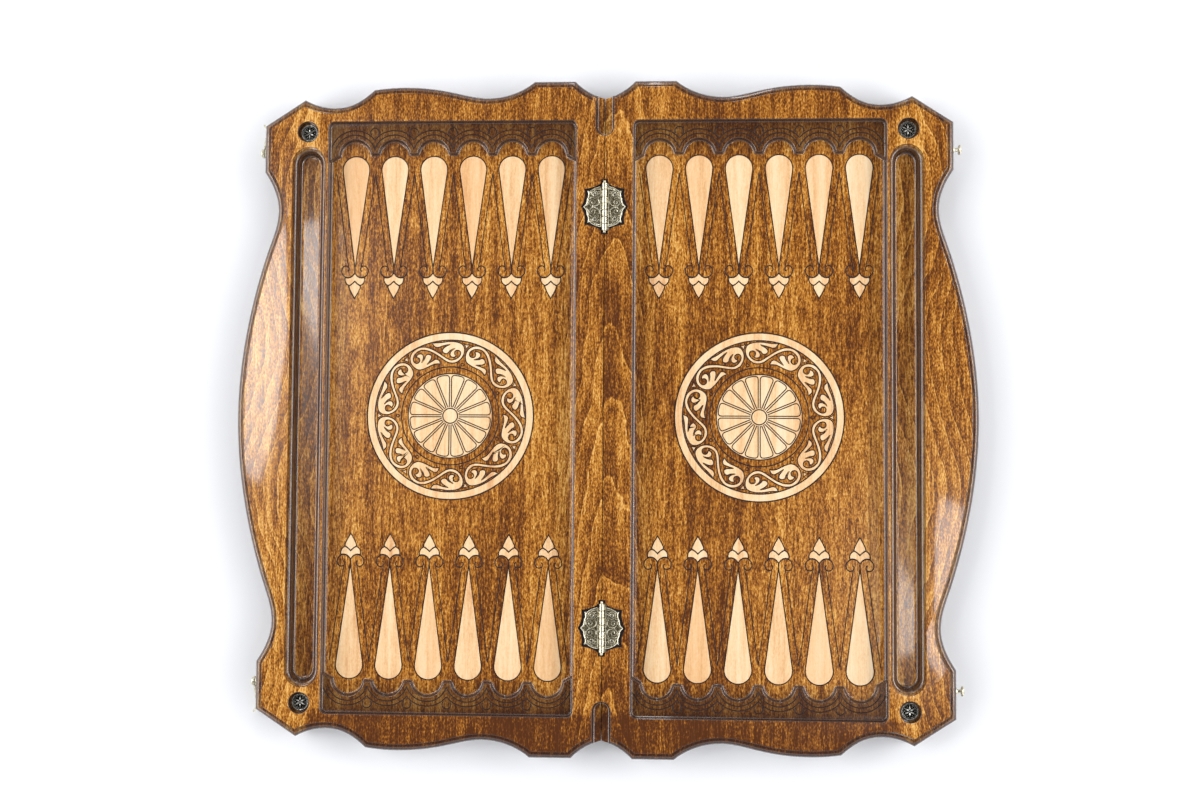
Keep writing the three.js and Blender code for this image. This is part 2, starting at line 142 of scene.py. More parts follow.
TOP = box_mm("board_right")[1].z
FLOOR = box_mm("rosette_inlay_right")[1].z
INLAY_BOTTOM = box_mm("rosette_inlay_right")[0].z
SHELF = TOP - SHELF_DROP
ROSETTE_X = middle("rosette_inlay_right").x
POINT_XS = [middle(f"point_inlay_right_upper_{i + 1}").x for i in range(POINT_COUNT)]
POINT_Y = box_mm("point_inlay_right_upper_1")[1].y - POINT_R
SOCKET_X = middle("medallion_right_upper").x
SOCKET_Y = middle("medallion_right_upper").y
HINGE_Y = middle("upper_hinge_pin").y
AXIS_Z = middle("upper_hinge_pin").z
PIN_LOW, PIN_HIGH = box_mm("upper_hinge_pin")
LEAF_TOP_Z = box_mm("upper_hinge_right_screw_1")[1].z
LATCH_Y = middle("upper_stud").y
LATCH_Z = middle("upper_stud").z


# --- Outline helpers ------------------------------------------------
def arc(cx, cy, radius, start, end, steps):
    angles = [start + (end - start) * i / steps for i in range(steps + 1)]
    return [(cx + radius * math.cos(a), cy + radius * math.sin(a)) for a in angles]


def circle(cx, cy, radius, steps):
    return arc(cx, cy, radius, 0, TAU, steps)[:-1]


def curve(points, steps):
    """A Bezier curve through its end control points, without its first point."""
    order = len(points) - 1
    made = []
    for i in range(1, steps + 1):
        t = i / steps
        weights = [math.comb(order, k) * t**k * (1 - t) ** (order - k) for k in range(order + 1)]
        made.append((
            sum(w * p[0] for w, p in zip(weights, points)),
            sum(w * p[1] for w, p in zip(weights, points)),
        ))
    return made


def chain(start, *spans):
    """Spans joined end to end: each gives its steps, then its control points after the last one."""
    made = [start]
    for steps, *points in spans:
        made += curve([made[-1]] + points, steps)
    return made


def smooth(points, steps):
    """A Catmull-Rom curve through the given points."""
    last = len(points) - 1
    made = []
    for i in range(last):
        four = [points[min(max(i + k, 0), last)] for k in (-1, 0, 1, 2)]
        for s in range(steps):
            t = s / steps
            made.append(tuple(
                0.5 * (2 * b + (c - a) * t + (2 * a - 5 * b + 4 * c - d) * t * t
                       + (3 * b - a - 3 * c + d) * t**3)
                for a, b, c, d in zip(*four)
            ))
    made.append(tuple(points[-1]))
    return made


def mirrored(upper):
    """Adds the mirror image below the X axis to an outline above it."""
    lower = [(x, -y) for x, y in reversed(upper) if abs(y) > 1e-9]
    return upper + lower


def normals_of(points):
    area = sum(a[0] * b[1] - b[0] * a[1] for a, b in zip(points, points[1:] + points[:1]))
    turn = 1 if area > 0 else -1
    found = []
    for a, b in zip(points, points[1:] + points[:1]):
        length = math.hypot(b[0] - a[0], b[1] - a[1]) or 1
        found.append((turn * (b[1] - a[1]) / length, -turn * (b[0] - a[0]) / length))
    return found


def offset(points, grow):
    """Moves each edge of a closed outline outwards by grow, a length or a rule of its normal."""
    rule = grow if callable(grow) else lambda n: grow
    normals = normals_of(points)
    moved = []
    for i, (x, y) in enumerate(points):
        a, b = normals[i - 1], normals[i]
        da, db = rule(a), rule(b)
        det = a[0] * b[1] - a[1] * b[0]
        if abs(det) < 1e-4:
            moved.append((x + b[0] * db, y + b[1] * db))
        else:
            moved.append((x + (da * b[1] - db * a[1]) / det, y + (a[0] * db - b[0] * da) / det))
    return moved


def quarter(radius, steps, outwards):
    """Pairs (inset, depth) of a quarter round: convex from the top edge, or a cove at the foot."""
    angles = [math.pi / 2 * i / steps for i in range(steps + 1)]
    if outwards:
        return [(radius * (1 - math.sin(a)), radius * (1 - math.cos(a))) for a in angles]
    return [(-radius * (1 - math.cos(a)), radius * (1 - math.sin(a))) for a in angles]


# --- Mesh helpers ---------------------------------------------------
def finish_mesh(bm, name, materials):
    bmesh.ops.recalc_face_normals(bm, faces=bm.faces)
    bm.transform(Matrix.Scale(MM, 4))
    mesh = bpy.data.meshes.new(name)
    bm.to_mesh(mesh)
    bm.free()
    for material in materials:
        mesh.materials.append(material)
    obj = bpy.data.objects.new(name, mesh)
    bpy.context.scene.collection.objects.link(obj)
    return obj


def add_loft(bm, rings, slot=0, closed=False):
    """Joins rings of equal length with quads. closed joins the last ring to the first."""
    levels = [[bm.verts.new(p) for p in ring] for ring in rings]
    pairs = list(zip(levels, levels[1:]))
    if closed:
        pairs.append((levels[-1], levels[0]))
    for low, high in pairs:
        for i in range(len(low)):
            j = (i + 1) % len(low)
            bm.faces.new((low[i], low[j], high[j], high[i])).material_index = slot
    if not closed:
        bm.faces.new(list(reversed(levels[0]))).material_index = slot
        bm.faces.new(levels[-1]).material_index = slot


def at(points, z):
    return [(x, y, z) for x, y in points]


def add_prism(bm, points, z0, z1, slot=0, chamfer=0):
    rings = [at(points, z0), at(points, z1 - chamfer)]
    if chamfer:
        rings.append(at(offset(points, -chamfer), z1))
    add_loft(bm, rings, slot)


def add_lathe(bm, profile, steps):
    """Turns pairs (radius, z) round the Z axis; the end radii are closed with small caps."""
    rings = []
    for radius, z in profile:
        rings.append([(x, y, z) for x, y in circle(0, 0, max(radius, 0.01), steps)])
    add_loft(bm, rings)


def add_tube(bm, path, radius, sides=6, closed=False):
    """A round bar along a path of 3-D points; radius is a length or a rule of the place, 0 to 1."""
    rule = radius if callable(radius) else lambda t: radius
    points = [Vector(p) for p in path]
    count = len(points)
    rings = []
    side = None
    for i, p in enumerate(points):
        before = points[i - 1] if i or closed else p
        after = points[(i + 1) % count] if i < count - 1 or closed else p
        along = (after - before).normalized()
        if side is None:
            side = along.orthogonal().normalized()
        side = (side - along * side.dot(along)).normalized()
        up = along.cross(side)
        r = rule(i / (count - 1))
        rings.append([
            tuple(p + (side * math.cos(TAU * k / sides) + up * math.sin(TAU * k / sides)) * r)
            for k in range(sides)
        ])
    add_loft(bm, rings, closed=closed)


def add_groove(bm, points, z, closed=False, width=LINE_W):
    """A cutter for an engraved line: a V section that is width wide at height z."""
    count = len(points)
    rise = 0.3
    half = width / 2 * (1 + rise / LINE_D)
    rings = []
    for i, (x, y) in enumerate(points):
        before = points[i - 1] if i or closed else (x, y)
        after = points[(i + 1) % count] if i < count - 1 or closed else (x, y)
        length = math.hypot(after[0] - before[0], after[1] - before[1]) or 1
        nx, ny = -(after[1] - before[1]) / length, (after[0] - before[0]) / length
        rings.append([
            (x + nx * half, y + ny * half, z + rise),
            (x - nx * half, y - ny * half, z + rise),
            (x, y, z - LINE_D),
        ])
    add_loft(bm, rings, 1, closed)


def shade(obj, angle):
    """Smooth shading with sharp edges kept, weighted so that large flats stay flat."""
    for polygon in obj.data.polygons:
        polygon.use_smooth = True
    obj.data.set_sharp_from_angle(angle=math.radians(angle))
    weighted = obj.modifiers.new("weighted_normals", "WEIGHTED_NORMAL")
    weighted.keep_sharp = True
    weighted.weight = 80
    weighted.mode = "FACE_AREA_WITH_ANGLE"


def install(piece, body, node=None, angle=32):
    """Shades a finished piece, gives it its body and hides the CAD node it replaces."""
    shade(piece, angle)
    if node:
        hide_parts(node)
    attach(piece, body)


def carve(obj, cutters):
    """Subtracts each cutter from obj and removes it. Plain triangles keep every cut clean."""
    for cutter in cutters:
        cut = obj.modifiers.new("cut", "BOOLEAN")
        cut.operation = "DIFFERENCE"
        cut.solver = "MANIFOLD"
        cut.object = cutter
        depsgraph = bpy.context.evaluated_depsgraph_get()
        mesh = bpy.data.meshes.new_from_object(obj.evaluated_get(depsgraph))
        obj.modifiers.clear()
        obj.data = mesh
        bm = bmesh.new()
        bm.from_mesh(mesh)
        bmesh.ops.triangulate(bm, faces=bm.faces)
        bmesh.ops.dissolve_degenerate(bm, dist=1e-7, edges=bm.edges)
        bm.to_mesh(mesh)
        bm.free()
        bpy.data.objects.remove(cutter)


def flipped(obj, side):
    """Mirrors a piece drawn for the right half to the left half."""
    if side < 0:
        obj.data.transform(Matrix.Scale(-1, 4, (1, 0, 0)))
        obj.data.flip_normals()
    return obj


def stamp(obj, name, value):
    """Stores one number on every point of a piece, for its material to read."""
    values = obj.data.attributes.new(name, "FLOAT", "POINT")
    values.data.foreach_set("value", [value] * len(obj.data.vertices))


def chance(key):
    """A repeatable number between 0 and 1 for a name."""
    value = 0
    for letter in key:
        value = (value * 31 + ord(letter)) % 9973
    return value / 9973


# --- Materials ------------------------------------------------------
def srgb(red, green, blue):
    def linear(c):
        c /= 255
        return c / 12.92 if c <= 0.04045 else ((c + 0.055) / 1.055) ** 2.4

    return (linear(red), linear(green), linear(blue), 1)


class Nodes:
    """Short calls for building the node tree of a new material or world."""

    def __init__(self, owner):
        self.owner = owner
        owner.use_nodes = True
        self.tree = owner.node_tree
        self.tree.nodes.clear()

    def add(self, kind, inputs=None, **settings):
        node = self.tree.nodes.new(kind)
        for key, value in settings.items():
            setattr(node, key, value)
        for key, value in (inputs or {}).items():
            self.put(node.inputs[key], value)
        return node

    def put(self, socket, value):
        if isinstance(value, bpy.types.NodeSocket):
            self.tree.links.new(value, socket)
        else:
            socket.default_value = value

    def math(self, operation, a, b=0.0, c=0.0):
        return self.add("ShaderNodeMath", {0: a, 1: b, 2: c}, operation=operation).outputs[0]

    def scaled(self, vector, scale, location=(0, 0, 0)):
        node = self.add("ShaderNodeMapping", {"Vector": vector, "Scale": scale,
                                              "Location": location})
        return node.outputs[0]

    def noise(self, vector, scale, detail=4.0, rough=0.5):
        node = self.add("ShaderNodeTexNoise", {
            "Vector": vector, "Scale": scale, "Detail": detail, "Roughness": rough,
        })
        return node.outputs[0]

    def fit(self, value, low, high, out_low=0.0, out_high=1.0, kind="SMOOTHSTEP"):
        node = self.add("ShaderNodeMapRange", {
            "Value": value, "From Min": low, "From Max": high,
            "To Min": out_low, "To Max": out_high,
        }, interpolation_type=kind)
        return node.outputs[0]

    def ramp(self, value, stops):
        node = self.add("ShaderNodeValToRGB", {"Fac": value})
        band = node.color_ramp
        while len(band.elements) < len(stops):
            band.elements.new(0.5)
        for element, (place, colour) in zip(band.elements, stops):
            element.position = place
            element.color = colour
        return node.outputs[0]

    def mix(self, factor, a, b):
        return self.add("ShaderNodeMix", {0: factor, 6: a, 7: b}, data_type="RGBA").outputs[2]

    def finish(self, colour, roughness, metallic, bump=None, strength=0.3, distance=0.0002,
               coat=0.0, coat_roughness=0.1):
        inputs = {"Base Color": colour, "Roughness": roughness, "Metallic": metallic,
                  "Coat Weight": coat, "Coat Roughness": coat_roughness}
        if bump is not None:
            node = self.add("ShaderNodeBump", {"Strength": strength, "Distance": distance,
                                               "Height": bump})
            inputs["Normal"] = node.outputs[0]
        shader = self.add("ShaderNodeBsdfPrincipled", inputs)
        output = self.add("ShaderNodeOutputMaterial")
        self.tree.links.new(shader.outputs[0], output.inputs["Surface"])
        return self.owner

def tally(n, base, terms):
    """Adds terms (value, its middle, gain) to base."""
    total = base
    for value, centre, gain in terms:
        total = n.math("ADD", total, n.math("MULTIPLY", n.math("SUBTRACT", value, centre), gain))
    return total


def grain(n, place, seed):
    """Noises of straight-grained beech along Y: short pores, streaks and broad clouds."""
    return {
        "pores": n.noise(n.scaled(place, (1150, 430, 1150), (0, seed, 0)), 1, 2, 0.6),
        "fibre": n.noise(n.scaled(place, (640, 52, 640), (seed, 0, 0)), 1, 3, 0.6),
        "streak": n.noise(n.scaled(place, (150, 5, 150), (seed, seed, 0)), 1, 2, 0.5),
        "cloud": n.noise(n.scaled(place, (14, 6, 14), (seed, seed, seed)), 1, 2, 0.5),
    }


def crest(n, height, spacing, sway):
    """Flat-sawn figure: a thin pale line every spacing of height, above a fading dark band."""
    waves = n.math("MULTIPLY_ADD", sway, 1.7, n.math("DIVIDE", height, spacing))
    saw = n.math("FRACT", waves)
    line = n.math("MULTIPLY", n.fit(saw, 0.9, 0.98), n.fit(saw, 0.98, 1.0, 1.0, 0.0))
    band = n.fit(saw, 0.0, 0.8)
    return n.math("ADD", n.math("MULTIPLY", line, 0.36), n.math("MULTIPLY", band, 0.3))


def figure(n, place, seed):
    """Tall arches in the staves beside the seam, and a winding figure in the outer border."""
    x, y, z = n.add("ShaderNodeSeparateXYZ", {0: place}).outputs
    out = n.math("ABSOLUTE", x)
    sway = n.noise(n.scaled(place, (30, 14, 30), (seed, 0, seed)), 1, 3)
    across = n.math("SUBTRACT", x, 0.008)
    arch = n.math("MULTIPLY_ADD", n.math("MULTIPLY", across, across), 125, y)
    wind = n.math("COSINE", n.math("MULTIPLY", n.math("SUBTRACT", y, 0.06), 26))
    bend = n.math("MULTIPLY_ADD", wind, 0.014, out)
    near_seam = n.fit(out, 0.031, 0.036, 1.0, 0.0)
    near_edge = n.fit(out, 0.236, 0.242)
    rings = n.math("ADD", n.math("MULTIPLY", crest(n, arch, 0.062, sway), near_seam),
                   n.math("MULTIPLY", crest(n, bend, 0.0105, sway), near_edge))
    return rings, out, y, z


def stained_beech(name, seed):
    n = Nodes(bpy.data.materials.new(name))
    where = n.add("ShaderNodeTexCoord")
    place = where.outputs["Object"]
    noise = grain(n, place, seed)
    rings, out, y, z = figure(n, place, seed)
    land = n.fit(out, 0.24, 0.25, 1.0, 0.0)
    upper_land = n.math("MULTIPLY", n.fit(y, 0.238, 0.248), land)
    lower_land = n.math("MULTIPLY", n.fit(y, -0.238, -0.248), land)
    # The deep part of the trough is darkened: partly painted shade in the sunk channel, partly the
    # stain that the cut wood soaks up.
    trough_shade_and_stain = n.math("MULTIPLY", n.fit(out, 0.234, 0.238),
                          n.fit(z, (TOP - TROUGH_D + 1) * MM, (TOP - TROUGH_D + 4) * MM, 1.0, 0.0))
    stave = n.math("FLOOR", n.math("DIVIDE", out, STAVE_W * MM))
    stave_tone = n.add("ShaderNodeTexWhiteNoise", {"W": n.math("ADD", stave, seed * 3.7)},
                       noise_dimensions="1D").outputs[0]
    tone = tally(n, 0.54, [
        (noise["pores"], 0.5, 2.1), (noise["fibre"], 0.5, 1.4), (noise["streak"], 0.5, 0.9),
        (noise["cloud"], 0.5, 0.7), (stave_tone, 0.5, 0.14), (rings, 0.17, 0.8),
        (upper_land, 0.0, -0.08), (lower_land, 0.0, -0.38), (n.fit(out, 0.04, 0.03), 0.0, -0.2),
        (trough_shade_and_stain, 0.0, -0.1), (n.fit(out, 0.258, 0.262), 0.0, -0.12),
    ])
    colour = n.ramp(n.fit(tone, 0.0, 1.0, kind="LINEAR"), [
        (0.0, srgb(84, 42, 10)),
        (0.3, srgb(136, 78, 20)),
        (0.55, srgb(184, 118, 38)),
        (0.78, srgb(212, 150, 66)),
        (1.0, srgb(236, 184, 104)),
    ])
    # Walls, rims and the sunk shelf are mixed towards dark brown: partly painted shade on the steep
    # and sunk surfaces, partly the stain that the cut end grain soaks up. Near the seam the sunk
    # parts keep their colour.
    upright = n.add("ShaderNodeSeparateXYZ", {0: where.outputs["Normal"]}).outputs[2]
    steep_shade_and_stain = n.fit(n.math("ABSOLUTE", upright), 0.8, 0.985, 0.92, 0.0)
    below = n.math("SUBTRACT", TOP * MM, z)
    sunk_shade_and_stain = n.math("MULTIPLY", n.fit(below, 0.0006, 0.0011, 0.0, 0.7),
                     n.fit(below, 0.0061, 0.0075, 1.0, 0.0))
    sunk_shade_and_stain = n.math("MULTIPLY", sunk_shade_and_stain, n.fit(out, 0.009, 0.014))
    colour = n.mix(n.math("MAXIMUM", steep_shade_and_stain, sunk_shade_and_stain), colour, srgb(46, 22, 10))
    height = tally(n, 0.0, [(noise["fibre"], 0.5, 1.0), (noise["pores"], 0.5, 0.6)])
    rough = n.fit(noise["fibre"], 0.3, 0.7, 0.2, 0.32)
    return n.finish(colour, rough, 0.0, height, 0.22, 0.0001, 0.7, 0.05)


def light_beech(name):
    n = Nodes(bpy.data.materials.new(name))
    place = n.add("ShaderNodeTexCoord").outputs["Object"]
    tone = n.add("ShaderNodeAttribute", attribute_name="tone").outputs["Fac"]
    shift = n.add("ShaderNodeCombineXYZ", {0: tone, 1: n.math("MULTIPLY", tone, 7.0)})
    moved = n.add("ShaderNodeVectorMath", {0: place, 1: shift.outputs[0]}, operation="ADD")
    noise = grain(n, moved.outputs[0], 5)
    value = tally(n, 0.55, [
        (noise["pores"], 0.5, 0.7), (noise["fibre"], 0.5, 0.8), (noise["streak"], 0.5, 1.3),
        (noise["cloud"], 0.5, 0.7),
    ])
    colour = n.ramp(n.fit(value, 0.0, 1.0, kind="LINEAR"), [
        (0.0, srgb(208, 146, 92)),
        (0.4, srgb(236, 190, 138)),
        (0.7, srgb(245, 210, 164)),
        (1.0, srgb(249, 221, 184)),
    ])
    colour = n.mix(n.fit(tone, 0.5, 1.0, 0.0, 0.35), colour, srgb(236, 178, 120))
    return n.finish(colour, 0.34, 0.0, noise["fibre"], 0.2, 0.0001, 0.2, 0.1)


def burnt_line(name):
    n = Nodes(bpy.data.materials.new(name))
    place = n.add("ShaderNodeTexCoord").outputs["Object"]
    soot = n.noise(n.scaled(place, (900, 300, 900)), 1, 3)
    colour = n.mix(soot, srgb(20, 9, 8), srgb(52, 26, 20))
    return n.finish(colour, 0.6, 0.0, soot, 0.2, 0.0001)


def old_metal(name, bright, dark, seed, roughness=0.36):
    """Antiqued metal: rubbed high spots over a mottled patina, with fine scratches."""
    n = Nodes(bpy.data.materials.new(name))
    place = n.add("ShaderNodeTexCoord").outputs["Object"]
    mottle = n.noise(n.scaled(place, (700, 700, 700), (seed, 0, 0)), 1, 5, 0.6)
    fine = n.noise(n.scaled(place, (2600, 900, 2600), (0, seed, 0)), 1, 3, 0.5)
    worn = n.fit(n.math("ADD", n.math("MULTIPLY", mottle, 0.7), n.math("MULTIPLY", fine, 0.3)),
                 0.36, 0.6)
    colour = n.mix(worn, dark, bright)
    rough = n.fit(fine, 0.3, 0.7, roughness - 0.08, roughness + 0.14)
    return n.finish(colour, rough, 1.0, fine, 0.25, 0.00008)


STAIN = {1: stained_beech("stained_beech_right", 1.3),
         -1: stained_beech("stained_beech_left", 4.6)}
LIGHT = light_beech("light_beech")
BURNT = burnt_line("burnt_line")
BRASS = old_metal("antique_brass", srgb(244, 238, 216), srgb(184, 172, 142), 1, 0.3)
BRASS_DARK = old_metal("antique_brass_recess", srgb(136, 126, 100), srgb(40, 34, 26), 2, 0.5)
SILVER = old_metal("antique_silver", srgb(232, 230, 222), srgb(110, 106, 98), 3, 0.28)
SILVER_DARK = old_metal("antique_silver_recess", srgb(48, 44, 40), srgb(16, 14, 12), 4, 0.5)


# --- The carved halves ----------------------------------------------
def edge_outline():
    """The shaped edge from the top of the seam round to its foot."""
    return mirrored(chain(
        (SEAM, 264.4),
        (6, (15, 268.5), (25, HALF_Y)),
        (1, (42, HALF_Y)),
        (1, (59, HALF_Y)),
        (9, (68, 271.5), (82, 265.4), (98, 265.4)),
        (14, (116, 265.4), (132, 275), (168, 275)),
        (5, (182, 275), (194, 273.1)),
        (8, (203, 265), (212, 258), (227, 258)),
        (5, (240, 258), (252.5, 264.9)),
        (1, (FLAT_X, 243)),
        (1, (FLAT_X, 203.5)),
        (8, (274, 186), (274, 171)),
        (9, (274, 158), (279, 148), (284, 132)),
        (18, (296.4, 92), (HALF_X, 46), (HALF_X, 0)),
    ))


def board_blank(side):
    """The block: rounded lower edge, moulded upper edge and a raised top panel."""
    outline = edge_outline()

    def ring(inset, z):
        return at(offset(outline, lambda n: 0 if n[0] < -0.999 else -inset), z)

    steps = 6
    angles = [math.pi / 2 * i / steps for i in range(steps + 1)]
    shoulder = TOP - STEP_H
    lower = [(MOULD_W * (1 - math.sin(a)), MOULD_H * (1 - math.cos(a))) for a in angles]
    upper = [(inset, shoulder - z) for inset, z in reversed(lower)]
    panel = [(STEP_W - 0.35, shoulder - 0.1), (STEP_W, shoulder + 0.1), (STEP_W, TOP - 0.45),
             (STEP_W + 0.15, TOP - 0.15), (STEP_W + 0.5, TOP)]
    bm = bmesh.new()
    add_loft(bm, [ring(*level) for level in lower + upper + panel])
    return finish_mesh(bm, f"carved_board_{HALVES[side]}", [STAIN[side], BURNT])


def cutter(name, build):
    bm = bmesh.new()
    build(bm)
    return finish_mesh(bm, name, [STAIN[1], BURNT])


def field_outline():
    x0, x1, y = FIELD_X0 + FIELD_R, FIELD_X1 - FIELD_R, FIELD_Y - FIELD_R
    return mirrored(arc(x0, y, FIELD_R, math.pi, math.pi / 2, 7)
                    + arc(x1, y, FIELD_R, math.pi / 2, 0, 7))


def floor_outline():
    upper = [(FIELD_X0, END_TONGUE_Y)]
    for i, x in enumerate(POINT_XS):
        start = math.pi - (ARCH_END if i else 0)
        stop = ARCH_END if i < POINT_COUNT - 1 else 0
        upper += arc(x, SCALLOP_Y, SCALLOP_R, start, stop, 18)
        if i < POINT_COUNT - 1:
            upper += [(x + PITCH / 2 - TONGUE_HALF, TONGUE_Y),
                      (x + PITCH / 2 + TONGUE_HALF, TONGUE_Y)]
    upper.append((FIELD_X1, END_TONGUE_Y))
    return mirrored(upper)


def cut_field(bm):
    outline = field_outline()
    rim = [(inset, TOP - d) for inset, d in quarter(FIELD_RIM, 5, True)]
    foot = [(grow, SHELF + up) for grow, up in quarter(SHELF_FOOT, 4, False)]
    levels = [(FIELD_RIM, TOP + 1)] + rim + foot

    def ring(grow, z):
        return at(offset(outline, grow), z)

    add_loft(bm, [ring(*level) for level in levels])


def cut_floor(bm):
    outline = floor_outline()
    rim = [(inset, SHELF - d) for inset, d in quarter(FLOOR_RIM, 5, True)]
    foot = [(grow, FLOOR + up) for grow, up in quarter(FLOOR_FOOT, 5, False)]
    levels = [(FLOOR_RIM, SHELF + 2)] + rim + foot

    def ring(grow, z):
        """The long side walls have no rim here and a wider foot."""
        def rule(normal):
            if abs(normal[0]) < 0.999:
                return grow
            return min(grow, 0) * SIDE_FOOT
        return at(offset(outline, rule), z)

    add_loft(bm, [ring(*level) for level in levels])


def cut_trough(bm):
    """A flat channel with a round foot, a rounded edge and a small step at the top."""
    edge = TOP - RIM_H
    foot = TOP - TROUGH_D
    rim = TROUGH_HALF + RIM_R + RIM_H / 4
    profile = arc(TROUGH_HALF - TROUGH_FOOT, foot + TROUGH_FOOT, TROUGH_FOOT, -math.pi / 2, 0, 6)
    profile += arc(TROUGH_HALF + RIM_R, edge - RIM_R, RIM_R, math.pi, math.pi / 2, 8)
    profile += [(rim - 0.1, edge), (rim, edge + 0.15), (rim, TOP - 0.3), (rim + 0.1, TOP - 0.1),
                (rim + 0.35, TOP), (rim + 0.35, TOP + 1)]
    reach = TROUGH_Y - rim

    def ring(half, z):
        return at(mirrored(arc(TROUGH_X, reach, half, math.pi, 0, 26)), z)

    add_loft(bm, [ring(*level) for level in profile])


def cut_sockets(bm):
    rim = [(inset, TOP - d) for inset, d in quarter(SOCKET_RIM, 4, True)]
    levels = [(SOCKET_RIM, TOP + 1)] + rim + [(0, TOP - SOCKET_D)]
    for end in (1, -1):
        add_loft(bm, [at(circle(SOCKET_X, end * SOCKET_Y, SOCKET_R + g, 40), z)
                      for g, z in levels])


def cut_notches(bm):
    rim = [(inset, TOP - d) for inset, d in quarter(NOTCH_RIM, 3, True)]
    foot = [(grow, TOP - NOTCH_D + up) for grow, up in quarter(NOTCH_FOOT, 4, False)]
    levels = [(NOTCH_RIM, TOP + 1)] + rim + foot
    for end in (1, -1):
        outline = arc(0, NOTCH_Y, NOTCH_R, math.pi, TAU, 20)
        outline += [(NOTCH_R, HALF_Y), (-NOTCH_R, HALF_Y)]
        outline = [(x, end * y) for x, y in outline]
        add_loft(bm, [at(offset(outline, g), z) for g, z in levels])


def pocket_outline():
    x, y = LEAF_CORNER
    right = mirrored(chain(
        (0, LEAF_HEAD + 3 * LEAF_POCKET),
        (8, (4, 16), (x + LEAF_POCKET, y + LEAF_POCKET)),
        (8, (15, 7), (LEAF_TIP + LEAF_POCKET, 0)),
    ))
    return right + [(-x, y) for x, y in reversed(right[1:-1])]


def cut_hinge_beds(bm):
    bed = LEAF_TOP_Z - LEAF_T - LEAF_BED
    for end in (1, -1):
        outline = [(x, y + end * HINGE_Y) for x, y in pocket_outline()]
        # Slot 1 gives the pocket's walls and bed the near-black burnt-line material: painted shade
        # in the gap round the leaf.
        add_loft(bm, [at(offset(outline, 0.25), TOP + 1), at(offset(outline, 0.25), TOP),
                      at(outline, TOP - 0.25), at(outline, bed)], 1)


def cut_knuckle_grooves(bm):
    half = (PIN_HIGH.y - PIN_LOW.y) / 2 + 0.8
    for end in (1, -1):
        rings = []
        for y in (-half, half):
            ring = circle(0, AXIS_Z, KNUCKLE_R + GROOVE_CLEAR, 24)
            rings.append([(x, y + end * HINGE_Y, z) for x, z in ring])
        # Slot 1 gives the groove the near-black burnt-line material: painted shade in the gap round
        # the knuckles.
        add_loft(bm, rings, 1)


def cut_bores(bm):
    """Holes for the hinge screws and for the latch shanks."""
    for end in (1, -1):
        for row in (1, -1):
            hole = circle(SCREW_X, end * HINGE_Y + row * SCREW_Y, SCREW_BORE_R, 14)
            add_prism(bm, hole, TOP - SCREW_BORE_L, TOP)
        rings = []
        for x in (FLAT_X - SHANK_L - 0.6, FLAT_X + 3):
            hole = circle(end * LATCH_Y, LATCH_Z, BORE_R, 20)
            rings.append([(x, y, z) for y, z in hole])
        add_loft(bm, rings)


# --- Outlines of the point ornament, drawn for the upper end: head at the origin, tip to -Y ---
def point_outline(grow=0.0):
    scale = 1 + grow / POINT_R
    lean = math.asin(POINT_R / POINT_L)
    return (arc(0, 0, POINT_R * scale, -lean, math.pi + lean, 26)
            + [(0, -POINT_L * scale)])


STEM_FOOT = -87.2


def volute(side):
    """A scroll that leaves the stem, goes round the outside and curls in at the top."""
    path = [(0, 3.6), (0, 0), (1.5, -2.1), (3.6, -3.4), (5.7, -3.8), (8.2, -3.2), (10.3, -1.3),
            (11.2, 1.3), (10.8, 3.8), (9.3, 5.5), (7.4, 5.9), (5.7, 5.2), (4.9, 3.6), (5.2, 2.1),
            (6.2, 1.4)]
    return smooth([(side * x, STEM_FOOT + y) for x, y in path], 4)


def outer_leg(side):
    path = [(PITCH / 2, -3.4), (13.2, -27.3), (8.3, -62.8), (6.7, -75.2), (5.7, -79.8),
            (5.5, -81.8)]
    return [(side * x, y) for x, y in path]


def below_stem(right):
    """A closed outline under the foot of the stem from its right half."""
    left = [(-x, y) for x, y in reversed(right) if x]
    return [(x, STEM_FOOT + y) for x, y in right + left]


def bud_outline():
    """The two-lobed bud under the volutes."""
    return below_stem([(0, -0.9), (1.6, -2.9), (3.6, -4.2), (5.7, -4.6), (7.8, -4.4), (7.9, -5.9),
                       (7.4, -7.7), (6.2, -9.2), (4.7, -10.0), (2.5, -8.7), (0.7, -6.9),
                       (0, -6.2)])


def drop_outline():
    return below_stem([(0, -7.8), (2.3, -9.9), (4.4, -11.2), (4.2, -12.6), (2.4, -16.4),
                       (0, -20.5)])


def placed(points, x, end):
    """A point ornament's outline in its place on the right half."""
    return [(x + end * px, end * (POINT_Y + py)) for px, py in points]


def each_point():
    return [(x, end) for x in POINT_XS for end in (1, -1)]


def cut_shapes(outline, bottom, top):
    """A seat of this outline at every point."""
    def build(bm):
        for x, end in each_point():
            add_prism(bm, placed(outline, x, end), bottom, top, 1)
    return build


def cut_lines(path, width=LINE_W):
    """An engraved line along this path at every point."""
    def build(bm):
        for x, end in each_point():
            add_groove(bm, placed(path, x, end), FLOOR, width=width)
    return build


def cut_arcade_lines(radius, skip):
    """Arcs on the shelf round every second arch, so that neighbours don't overlap."""
    def build(bm):
        lean = math.acos(min(1, PITCH / 2 / radius))
        for i, x in enumerate(POINT_XS):
            if i % 2 == skip:
                continue
            start = math.radians(20) if i == POINT_COUNT - 1 else lean
            stop = math.pi - (math.radians(20) if i == 0 else lean)
            for end in (1, -1):
                line = arc(x, SCALLOP_Y, radius, start, stop, 20)
                add_groove(bm, [(px, end * py) for px, py in line], SHELF, width=0.95)
    return build


def cut_arcade_drops(bm):
    for x in POINT_XS[:-1]:
        for end in (1, -1):
            line = arc(x + PITCH / 2, SCALLOP_Y + 19.6, 3.6, math.radians(-35),
                       math.radians(215), 12)
            add_groove(bm, [(px, end * py) for px, py in line], SHELF, width=0.95)


def cut_rosette(margin, bottom):
    outline = circle(ROSETTE_X, 0, ROSETTE_RADII["edge"] + margin, 128)
    return lambda bm: add_prism(bm, outline, bottom, FLOOR + 1, 1)


